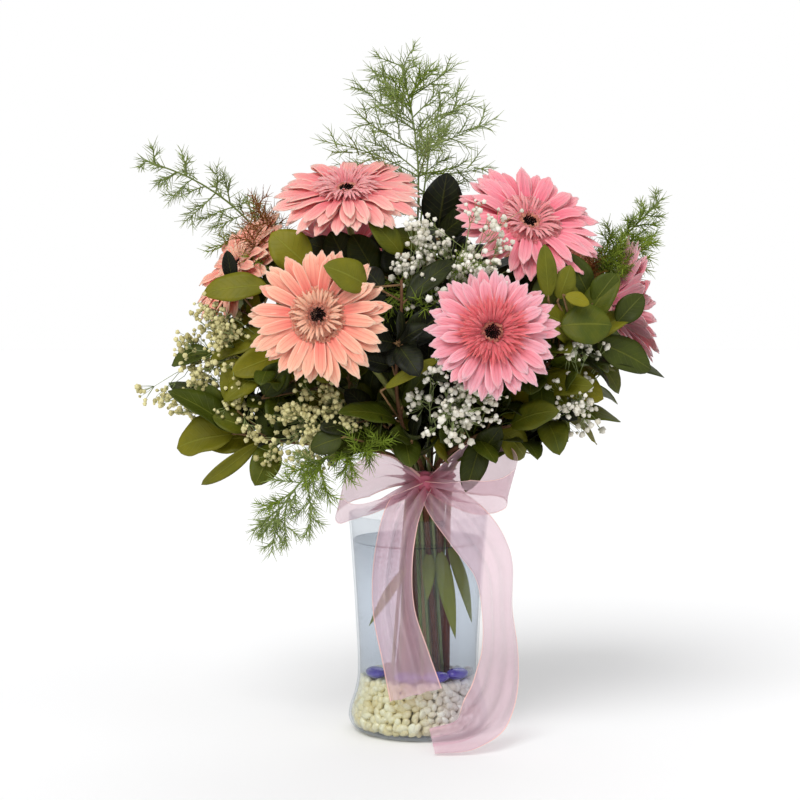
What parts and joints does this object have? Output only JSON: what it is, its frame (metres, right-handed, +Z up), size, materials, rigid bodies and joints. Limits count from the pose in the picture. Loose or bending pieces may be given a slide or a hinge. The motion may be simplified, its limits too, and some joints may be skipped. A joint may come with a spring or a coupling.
{
  "type": "gerberas in a vase",
  "caption": "Hand-tied bouquet of pink and salmon gerberas with leafy branches, fern and gypsophila, in a flared glass vase of water and pebbles with a ribbon bow.",
  "frame": {"origin": "centre of the vase's flat underside, on the surface that it stands on", "axes": "+Z up, -Y is the front with the two hanging ends of the bow, +X is the right of the front view"},
  "size_m": [0.3664, 0.238, 0.4908],
  "materials": {
    "vase_glass": "clear blown glass with a faint blue tint, smooth and glossy",
    "water": "clear water, still",
    "pebbles": "small tumbled pebbles, ivory to lilac grey, satin and wet",
    "violet_glass": "violet-blue glass nuggets, glossy",
    "organza": "pale pink organza ribbon, sheer with satin edges",
    "pink_petals": "satin petals, coral pink at the root and paler at the tip, grooved lengthways",
    "salmon_petals": "satin petals, salmon orange, paler at the tip, grooved lengthways",
    "bloom_eye": "dark velvety unopened florets",
    "flower_stalk": "pale green stalk, finely haired",
    "leaf": "leathery olive-green leaves on brown twigs, satin with pale veins",
    "fern": "fine green needles on thin green stems",
    "gypsophila": "small cream-white papery florets on thread-thin green stalks"
  },
  "bodies": {
    "root": {"vase": "vase_glass", "ribbon_bow": "organza", "gerbera_1_stalk": "flower_stalk", "gerbera_2_stalk": "flower_stalk", "gerbera_3_stalk": "flower_stalk", "gerbera_4_stalk": "flower_stalk", "gerbera_5_stalk": "flower_stalk", "gerbera_6_stalk": "flower_stalk", "gerbera_7_stalk": "flower_stalk", "gerbera_8_stalk": "flower_stalk", "leafy_left": "leaf", "leafy_low_left": "leaf", "leafy_front_left": "leaf", "leafy_front_right": "leaf", "leafy_right": "leaf", "leafy_low_right": "leaf", "leafy_crown": "leaf", "leafy_back": "leaf", "leafy_back_left": "leaf", "leafy_back_right": "leaf", "fern_top": "fern", "fern_left": "fern", "fern_right": "fern", "fern_low_left": "fern", "fern_back": "fern", "gypsophila_crown": "gypsophila", "gypsophila_left": "gypsophila", "gypsophila_low": "gypsophila", "gypsophila_low_left": "gypsophila", "gypsophila_right": "gypsophila", "gypsophila_back": "gypsophila", "gerbera_1_bloom": "pink_petals", "gerbera_1_eye": "bloom_eye", "gerbera_2_bloom": "salmon_petals", "gerbera_2_eye": "bloom_eye", "gerbera_3_bloom": "pink_petals", "gerbera_3_eye": "bloom_eye", "gerbera_4_bloom": "pink_petals", "gerbera_4_eye": "bloom_eye", "gerbera_5_bloom": "salmon_petals", "gerbera_5_eye": "bloom_eye", "gerbera_6_bloom": "pink_petals", "gerbera_6_eye": "bloom_eye", "gerbera_7_bloom": "salmon_petals", "gerbera_7_eye": "bloom_eye", "gerbera_8_bloom": "pink_petals", "gerbera_8_eye": "bloom_eye", "violet_nugget_1": "violet_glass", "violet_nugget_2": "violet_glass", "violet_nugget_3": "violet_glass", "violet_nugget_4": "violet_glass", "pebble_bed": "pebbles", "water": "water"}
  },
  "joints": []
}
